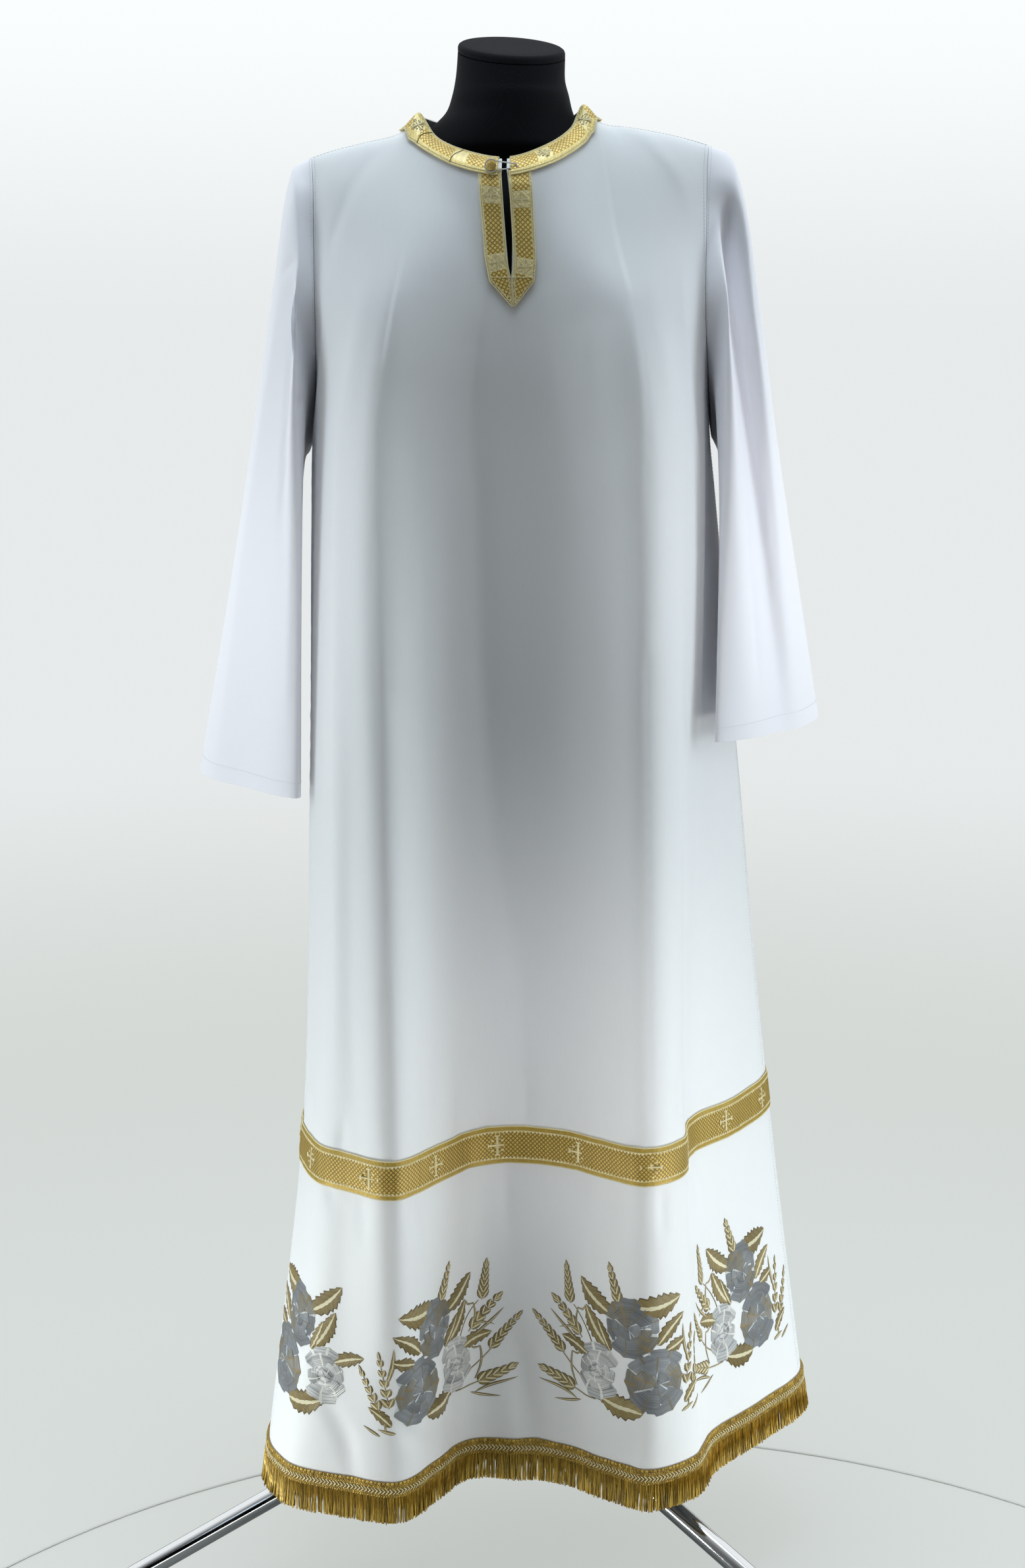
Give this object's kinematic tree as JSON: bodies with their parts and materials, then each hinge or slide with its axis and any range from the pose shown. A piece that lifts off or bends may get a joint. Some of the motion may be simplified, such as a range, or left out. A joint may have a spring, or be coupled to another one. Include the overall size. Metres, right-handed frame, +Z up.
{
  "type": "surplice on a dress form",
  "caption": "Long white church robe with wide sleeves, gold galloon and hem fringe, hanging on a limbless black dress form with a chrome tripod.",
  "frame": {"origin": "middle of the bounding box on the floor the tripod stands on", "axes": "+Z up along the stand, the robe's front faces -Y, the wearer's left is +X"},
  "size_m": [0.7988, 0.7773, 1.6709],
  "materials": {
    "white_satin": "matt white satin crepe",
    "gold_galloon": "woven metallic gold ribbon",
    "gold_fringe": "twisted gold fringe",
    "loop_cord": "thin pale cord",
    "form_cover": "black jersey over a hard shell",
    "chrome_tube": "polished chrome tube",
    "black_plastic": "black moulded plastic",
    "black_rubber": "black rubber"
  },
  "bodies": {
    "root": {"front_panel": "white_satin", "back_panel": "white_satin", "sleeve_right": "white_satin", "sleeve_left": "white_satin", "hem_band_front": "gold_galloon", "hem_band_back": "gold_galloon", "neck_galloon_right": "gold_galloon", "neck_galloon_left": "gold_galloon", "neck_galloon_back": "gold_galloon", "placket_galloon_right": "gold_galloon", "placket_galloon_left": "gold_galloon", "fringe_front": "gold_fringe", "fringe_back": "gold_fringe", "closure_button": "gold_galloon", "closure_loop": "loop_cord", "form_torso": "form_cover", "form_neck_cap": "form_cover", "stand_pole": "chrome_tube", "stand_leg_right": "chrome_tube", "stand_leg_left": "chrome_tube", "stand_leg_back": "chrome_tube", "stand_hub": "black_plastic", "pole_end_cap": "black_rubber", "stand_foot_right": "black_rubber", "stand_foot_left": "black_rubber", "stand_foot_back": "black_rubber"}
  },
  "joints": []
}
